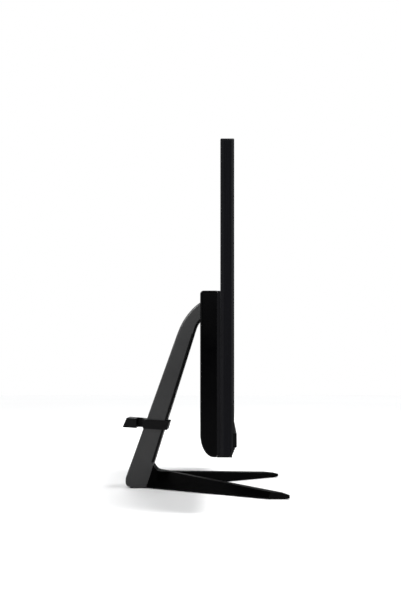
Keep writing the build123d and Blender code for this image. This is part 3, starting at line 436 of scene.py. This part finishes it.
# Screws of the rear cover, sunk in their counterbores
screws_low, screws_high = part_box("cover_screws")
SCREW_HEAD = 2.9 * MM
SCREW_HEAD_HEIGHT = 1.05 * MM
SCREW_SHANK = 1.5 * MM
SCREW_SHANK_LENGTH = 4 * MM
SCREW_SEAT_DEPTH = 1.1 * MM
UPPER_INNER_XS = (-0.060, 0.060)
LOWER_INNER_XS = (-0.020, 0.050)
screw_seat = screws_high.y - SCREW_SEAT_DEPTH
upper_row = screws_high.z - SCREW_HEAD
lower_row = screws_low.z + SCREW_HEAD
outer_x = screws_high.x - SCREW_HEAD
screws = bmesh.new()
for screw_z, inner_xs in ((upper_row, UPPER_INNER_XS), (lower_row, LOWER_INNER_XS)):
    for screw_x in (-outer_x, *inner_xs, outer_x):
        add_cross_screw(screws, (screw_x, screw_seat, screw_z), SCREW_HEAD, SCREW_HEAD_HEIGHT,
                        SCREW_SHANK, SCREW_SHANK_LENGTH)
cover_screw_set = finish_piece("cover_screw_set", screws, looks["screw_steel"])
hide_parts("cover_screws")

# Contacts, tongues and lamps of the sockets
usb_low, usb_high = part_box("usb_ports")
USB_WIDTH = 6.4 * MM
TONGUE_HALF_HEIGHT = 5.9 * MM
TONGUE_BACK = 10.2 * MM
TONGUE_FRONT = 1.1 * MM
USB_STRIPS = (-3.6, -1.2, 1.2, 3.6)
CONTACT_FRONT = 1.9 * MM
usb_pitch = (usb_high.x - usb_low.x - USB_WIDTH) / 2
usb_xs = [usb_low.x + USB_WIDTH / 2 + usb_pitch * i for i in range(3)]
socket_z = (usb_low.z + usb_high.z) / 2
mouth_y = usb_high.y
tongues = bmesh.new()
contacts = bmesh.new()
for usb_x in usb_xs:
    add_block(tongues, (usb_x - 1.06 * MM, mouth_y - TONGUE_BACK, socket_z - TONGUE_HALF_HEIGHT),
              (usb_x + 0.96 * MM, mouth_y - TONGUE_FRONT, socket_z + TONGUE_HALF_HEIGHT), 0.2 * MM)
    for strip in USB_STRIPS:
        add_block(contacts, (usb_x + 0.9 * MM, mouth_y - 9.5 * MM, socket_z + (strip - 0.5) * MM),
                  (usb_x + 1.12 * MM, mouth_y - CONTACT_FRONT, socket_z + (strip + 0.5) * MM),
                  0.05 * MM)

HDMI_STRIPS = 9
HDMI_STRIP_PITCH = 1.1 * MM
hdmi_low, hdmi_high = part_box("hdmi_port")
hdmi_x = (hdmi_low.x + hdmi_high.x) / 2
for strip in range(HDMI_STRIPS):
    strip_z = socket_z + (strip - (HDMI_STRIPS - 1) / 2) * HDMI_STRIP_PITCH
    add_block(contacts, (hdmi_x + 0.75 * MM, mouth_y - 8.6 * MM, strip_z - 0.25 * MM),
              (hdmi_x + 0.92 * MM, mouth_y - CONTACT_FRONT, strip_z + 0.25 * MM))

# Each wire of the ethernet jack is a row of short blocks that climbs inwards
WIRES = 8
WIRE_PITCH = 1.02 * MM
WIRE_STEPS = 7
jack_low, jack_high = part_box("ethernet_jack")
jack_x = (jack_low.x + jack_high.x) / 2
for wire in range(WIRES):
    wire_x = jack_x + (wire - (WIRES - 1) / 2) * WIRE_PITCH
    for step in range(WIRE_STEPS):
        depth = jack_high.y - (1.6 + step * 1.3) * MM
        rise = jack_low.z + (2.35 + step * 0.28) * MM
        add_block(contacts, (wire_x - 0.2 * MM, depth - 1.35 * MM, rise),
                  (wire_x + 0.2 * MM, depth, rise + 0.45 * MM), 0.05 * MM)
finish_piece("usb_tongues", tongues, looks["tongue_plastic"])
finish_piece("socket_contacts", contacts, looks["contact_gold"])

LAMP_OFFSET = 5.4 * MM
lamps = bmesh.new()
for side in (-1, 1):
    lamp_x = jack_x + side * LAMP_OFFSET
    add_block(lamps, (lamp_x - 1.1 * MM, jack_high.y - 0.3 * MM, jack_high.z - 1.75 * MM),
              (lamp_x + 1.1 * MM, jack_high.y + 0.12 * MM, jack_high.z - 0.35 * MM), 0.1 * MM)
finish_piece("ethernet_lamps", lamps, looks["light_lens"])

# Metal liners in the round sockets
dc_low, dc_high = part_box("power_jack")
audio_low, audio_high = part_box("audio_jack")
DC_BORE = 2.92 * MM
DC_RING = 3.5 * MM
AUDIO_BORE = 1.82 * MM
AUDIO_RING = 2.6 * MM
liners = bmesh.new()
for low, high, bore, ring in ((dc_low, dc_high, DC_BORE, DC_RING),
                              (audio_low, audio_high, AUDIO_BORE, AUDIO_RING)):
    centre = ((low.x + high.x) / 2, high.y, (low.z + high.z) / 2)
    outline = [(bore, 0.0), (bore, 0.18 * MM), (bore + 0.1 * MM, 0.25 * MM),
               (ring - 0.1 * MM, 0.25 * MM), (ring, 0.15 * MM), (ring, 0.0), (bore, 0.0)]
    add_lathe(liners, centre, outline, sides=40)
bmesh.ops.remove_doubles(liners, verts=liners.verts, dist=0.000001)
finish_piece("socket_liners", liners, looks["port_steel"])

# Woven steel mesh behind the slots of the speaker grille
grille_low, grille_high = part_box("speaker_grille")
MESH_INNER_X = 0.1015
MESH_OUTER_X = 0.2205
MESH_EDGE = 2.2 * MM
MESH_THICKNESS = 0.3 * MM
mesh_y = grille_low.y + 1.65 * MM
speaker_mesh = bmesh.new()
for side in (-1, 1):
    ends = sorted((side * MESH_INNER_X, side * MESH_OUTER_X))
    add_block(speaker_mesh, (ends[0], mesh_y, grille_low.z + MESH_EDGE),
              (ends[1], mesh_y + MESH_THICKNESS, grille_high.z - MESH_EDGE), 0.1 * MM)
finish_piece("speaker_mesh", speaker_mesh, looks["steel_mesh"])

# ------------------------------------------------------------------ light and floor
FLOOR_HALF = 6.0
WORLD_LIGHT = 0.20


def area_light(name, place, aim, size, power):
    """A soft light that the camera doesn't see, aimed at a point. Power is in watts."""
    data = bpy.data.lights.new(name, "AREA")
    data.shape = "RECTANGLE"
    data.size, data.size_y = size
    data.energy = power
    lamp = bpy.data.objects.new(name, data)
    lamp.location = place
    lamp.rotation_euler = (Vector(aim) - Vector(place)).to_track_quat("-Z", "Y").to_euler()
    lamp.visible_camera = False
    bpy.context.scene.collection.objects.link(lamp)


sun_data = bpy.data.lights.new("overhead", "SUN")
sun_data.energy = 3.4
sun_data.angle = math.radians(30)
sun = bpy.data.objects.new("overhead", sun_data)
sun.rotation_euler = (math.radians(24), math.radians(-5), 0)
bpy.context.scene.collection.objects.link(sun)
HEAD_MIDDLE = (0, 0, 0.22)
area_light("rear_softbox", (-0.5, 1.9, 1.0), HEAD_MIDDLE, (1.2, 1.8), 20)
area_light("front_softbox", (-0.9, -2.0, 1.3), HEAD_MIDDLE, (1.4, 1.4), 12)
area_light("right_softbox", (2.0, 0.4, 1.3), HEAD_MIDDLE, (1.4, 1.4), 12)
# The card brightens the near side, and the small light the arm's upper bend
area_light("arm_card", (-2.3, 0.25, 0.80), (0, 0.05, 0.24), (0.9, 0.7), 4.5)
area_light("bend_light", (-0.24, 0.17, 0.42), (-0.018, 0.025, 0.235), (0.12, 0.12), 0.9)

# White surroundings for the eye, dimmer ones as a light, so that dark surfaces stay dark
world = bpy.data.worlds.new("studio")
world.use_nodes = True
sky = world.node_tree
seen = sky.nodes["Background"]
seen.inputs["Color"].default_value = (1.0, 1.0, 1.0, 1.0)
seen.inputs["Strength"].default_value = 1.0
lighting = sky.nodes.new("ShaderNodeBackground")
lighting.inputs["Color"].default_value = (0.96, 0.98, 1.0, 1.0)
lighting.inputs["Strength"].default_value = WORLD_LIGHT
chooser = sky.nodes.new("ShaderNodeMixShader")
ray = sky.nodes.new("ShaderNodeLightPath")
sky.links.new(ray.outputs["Is Camera Ray"], chooser.inputs["Fac"])
sky.links.new(lighting.outputs["Background"], chooser.inputs[1])
sky.links.new(seen.outputs["Background"], chooser.inputs[2])
sky.links.new(chooser.outputs["Shader"], sky.nodes["World Output"].inputs["Surface"])
bpy.context.scene.world = world
# Plain tones: the default transform greys the white floor and lifts the dark surfaces
bpy.context.scene.view_settings.view_transform = "Standard"

floor_mesh = bpy.data.meshes.new("floor")
floor_form = bmesh.new()
bmesh.ops.create_grid(floor_form, x_segments=8, y_segments=8, size=FLOOR_HALF)
floor_form.to_mesh(floor_mesh)
floor_form.free()
floor = bpy.data.objects.new("floor", floor_mesh)
floor_look = Shader("floor", (0.90, 0.90, 0.90), 0.7)
floor_look.tint(floor_look.noise(0.6, 2.0), 0.01)
floor_mesh.materials.append(floor_look.material)
bpy.context.scene.collection.objects.link(floor)
